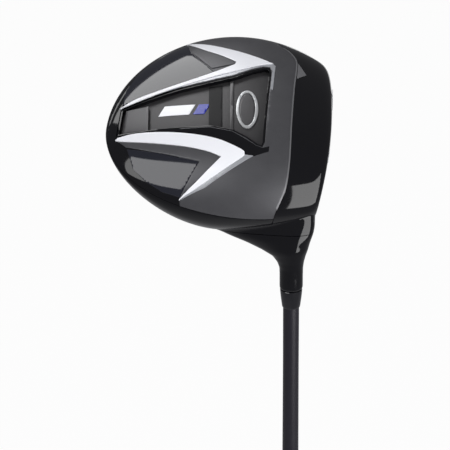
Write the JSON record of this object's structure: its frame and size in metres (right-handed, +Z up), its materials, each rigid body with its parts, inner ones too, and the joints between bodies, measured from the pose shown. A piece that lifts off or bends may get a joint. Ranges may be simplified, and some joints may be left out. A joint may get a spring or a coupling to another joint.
{
  "type": "golf driver",
  "caption": "Junior golf driver with a hollow gloss-black head, white-edged inlaid sole, charcoal shaft and black rubber grip.",
  "frame": {"origin": "centre of the grip's flat butt end", "axes": "+Z up the shaft from the butt to the head, +X the way the face looks, +Y towards the crown side, so the sole looks along -Y and up"},
  "size_m": [0.118, 0.0969, 1.073],
  "materials": {
    "gloss_black": "gloss",
    "sole_grey": "matte",
    "white_enamel": "gloss",
    "facet_grey": "satin",
    "window_black": "gloss",
    "channel_grey": "matte",
    "bright_metal": "polished",
    "shaft_paint": "gloss",
    "ferrule_black": "gloss",
    "grip_rubber": "matte",
    "tape_paper": "matte",
    "weight_metal": "satin"
  },
  "bodies": {
    "root": {"crown_shell": "gloss_black", "face_cup": "gloss_black", "hosel_casting": "gloss_black", "sole_shell": "sole_grey", "toe_chevron": "white_enamel", "heel_chevron": "white_enamel", "toe_facet": "facet_grey", "heel_facet": "facet_grey", "toe_window": "window_black", "heel_window": "window_black", "slot_insert": "window_black", "channel_tray": "channel_grey", "rear_pod_cover": "channel_grey", "badge_disc": "channel_grey", "badge_ring": "bright_metal", "rear_weight_slug": "weight_metal", "shaft": "shaft_paint", "shaft_tip_plug": "weight_metal", "ferrule": "ferrule_black", "grip_tape": "tape_paper", "grip_sleeve": "grip_rubber", "grip_end_cap": "grip_rubber"}
  },
  "joints": []
}
